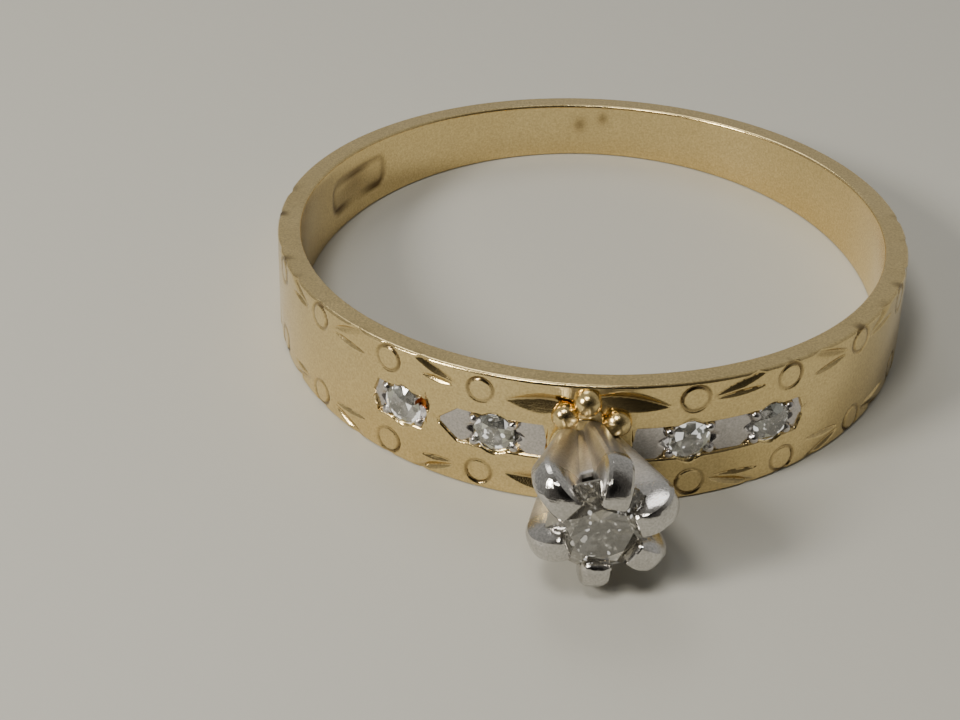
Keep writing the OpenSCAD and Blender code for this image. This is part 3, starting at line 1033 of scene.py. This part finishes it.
def floor_material():
    """Matt warm-grey paper."""
    m, nodes, links, bsdf = new_material("floor_paper")
    coord = nodes.new("ShaderNodeTexCoord").outputs["Object"]
    broad = noise(nodes, links, coord, 12, 3)
    feed(links, bsdf.inputs["Base Color"],
         blend(nodes, links, broad, (0.48, 0.475, 0.43), (0.52, 0.515, 0.47)))
    feed(links, bsdf.inputs["Roughness"], 0.75)
    fine = noise(nodes, links, coord, 1400, 4)
    feed(links, bsdf.inputs["Normal"], bump(nodes, links, fine, 0.00003, 0.3))
    return m


# ---------------------------------------------------------------- build
def finish_piece(o, node, material):
    o.data.materials.clear()
    o.data.materials.append(material)
    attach(o, "root")
    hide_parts(node)


def build_ring():
    """Every piece of the ring, each in place of its CAD node."""
    # The band's dark colour covers stains inside, darker cuts, and painted shade in the
    # drilled hole.
    gold = metal("yellow_gold", light=(0.85, 0.67, 0.335), deep=(0.78, 0.60, 0.28),
                 dirt_and_shade_colour=(0.13, 0.08, 0.035), rough=0.18, wear=0.35)
    white = metal("white_gold", light=(0.66, 0.64, 0.61), deep=(0.60, 0.58, 0.55),
                  dirt_and_shade_colour=(0.16, 0.05, 0.012), rough=0.1, wear=0.4)
    # On the strips the dark colour only fills the drilled hole, as painted shade.
    satin = metal("white_gold_satin", light=(0.68, 0.65, 0.635), deep=(0.56, 0.53, 0.515),
                  dirt_and_shade_colour=(0.42, 0.14, 0.03), rough=0.2, wear=0.4)
    # Both stones glow with painted highlights on their facets and painted glints at random
    # points.
    side_gem = gem_material("diamond_small", tint=(0.58, 0.6, 0.54), rough=0.03, clear=0.97,
                            sparkle=0.95, painted_facet_highlight=0.7, painted_glint=0.9, rare=0.61)
    main_gem = gem_material("diamond_centre", tint=(0.57, 0.54, 0.46), rough=0.12, clear=0.88,
                            sparkle=0.5, painted_facet_highlight=0.08, painted_glint=0.6, rare=0.68)
    finish_piece(make_band(), "shank", gold)
    strips = (("strip_a", "strip_left_outer", (SIDE_ANGLES[0],)),
              ("strip_b", "strip_left_inner", (SIDE_ANGLES[1],)),
              ("strip_c", "strip_right", SIDE_ANGLES[2:]))
    for i, (name, node, stones) in enumerate(strips):
        o = make_strip(name, STRIP_SPANS[i], STRIP_TAPERS[i], stones, seed=20 + i)
        finish_piece(o, node, satin)
    side_nodes = ("stone_left_outer", "stone_left_inner",
                  "stone_right_inner", "stone_right_outer")
    for angle, node, spin in zip(SIDE_ANGLES, side_nodes, (4, 17, 9, 31)):
        at = on_band(angle, lift=SIDE_GIRDLE)
        o = make_stone("gem_" + node.removeprefix("stone_"), SIDE_D, at, spin)
        finish_piece(o, node, side_gem)
    finish_piece(make_base(), "head_base", gold)
    finish_piece(make_crown(), "claw_crown", white)
    centre = make_stone("gem_centre", CENTRE_D, head_frame(GIRDLE_H), spin=12)
    finish_piece(centre, "centre_stone", main_gem)


def build_floor():
    """Floor on the plane of the lower rim, a hair below it."""
    half = 600
    gap = 0.004
    tilt = Matrix.Rotation(math.atan(RIM_K), 4, "X")
    low = Matrix.Translation((0, 0, -MID_HALF - gap))
    corners = [(-half, -half, 0), (half, -half, 0), (half, half, 0), (-half, half, 0)]
    floor = add_object("floor", corners, [(0, 1, 2, 3)], low @ tilt)
    floor.data.materials.append(floor_material())


def build_camera():
    """Camera fitted to the band's rims in the photograph; place and aim in millimetres."""
    place = Vector((-0.904, -55.62, 33.54)) * MM
    aim = Vector((-2.97, -5.367, 0.0)) * MM
    roll = Matrix.Rotation(math.radians(1.31), 3, "Z")
    cam = bpy.data.cameras.new("camera")
    cam.lens = 82.04
    cam.sensor_width = 36
    cam.clip_start = 0.002
    cam.clip_end = 5
    eye = bpy.data.objects.new("camera", cam)
    bpy.context.scene.collection.objects.link(eye)
    eye.location = place
    eye.rotation_mode = "QUATERNION"
    turn = (aim - eye.location).to_track_quat("-Z", "Y")
    eye.rotation_quaternion = turn @ roll.to_quaternion()
    bpy.context.scene.camera = eye


def build_world():
    """Pale room that is darker on the side where the viewer stands."""
    dark_side = Vector((0.03, -0.84, 0.54)).normalized()
    stops = ((0.0, (0.68, 0.67, 0.64)), (0.66, (0.5, 0.49, 0.46)),
             (0.82, (0.15, 0.14, 0.125)), (0.92, (0.1, 0.094, 0.085)),
             (0.97, (0.02, 0.019, 0.017)))
    world = bpy.data.worlds.new("studio")
    bpy.context.scene.world = world
    world.use_nodes = True
    nodes, links = world.node_tree.nodes, world.node_tree.links
    coord = nodes.new("ShaderNodeTexCoord").outputs["Generated"]
    toward = nodes.new("ShaderNodeVectorMath")
    toward.operation = "DOT_PRODUCT"
    toward.inputs[1].default_value = dark_side
    links.new(coord, toward.inputs[0])
    share = calculate(nodes, links, "MULTIPLY_ADD", toward.outputs["Value"], 0.5, 0.5)
    ramp = nodes.new("ShaderNodeValToRGB")
    while len(ramp.color_ramp.elements) < len(stops):
        ramp.color_ramp.elements.new(0.5)
    for e, (at, colour) in zip(ramp.color_ramp.elements, stops):
        e.position = at
        e.color = (*colour, 1)
    links.new(share, ramp.inputs["Fac"])
    back = nodes["Background"]
    links.new(ramp.outputs["Color"], back.inputs["Color"])
    feed(links, back.inputs["Strength"], 0.64)


def build_lamps():
    """Round lamps aimed at the ring's centre; place and width in millimetres."""
    Lamp = namedtuple("Lamp", "name place width power colour")
    warm = (1.0, 0.95, 0.86)
    lamps = (
        Lamp("key", (-40, -60, 150), 46, 0.10, warm),
        Lamp("left", (-110, -70, 80), 42, 0.18, warm),
        Lamp("back", (-40, 110, 170), 100, 0.07, (1.0, 0.98, 0.95)),
        Lamp("spark", (5, -60, 150), 10, 0.012, (0.96, 0.97, 1.0)),
    )
    for lamp in lamps:
        light = bpy.data.lights.new(lamp.name, "AREA")
        light.shape = "DISK"
        light.size = lamp.width * MM
        light.energy = lamp.power
        light.color = lamp.colour
        o = bpy.data.objects.new(lamp.name, light)
        o.location = Vector(lamp.place) * MM
        o.rotation_mode = "QUATERNION"
        o.rotation_quaternion = (-o.location).to_track_quat("-Z", "Y")
        bpy.context.scene.collection.objects.link(o)


build_ring()
build_floor()
build_camera()
build_world()
build_lamps()
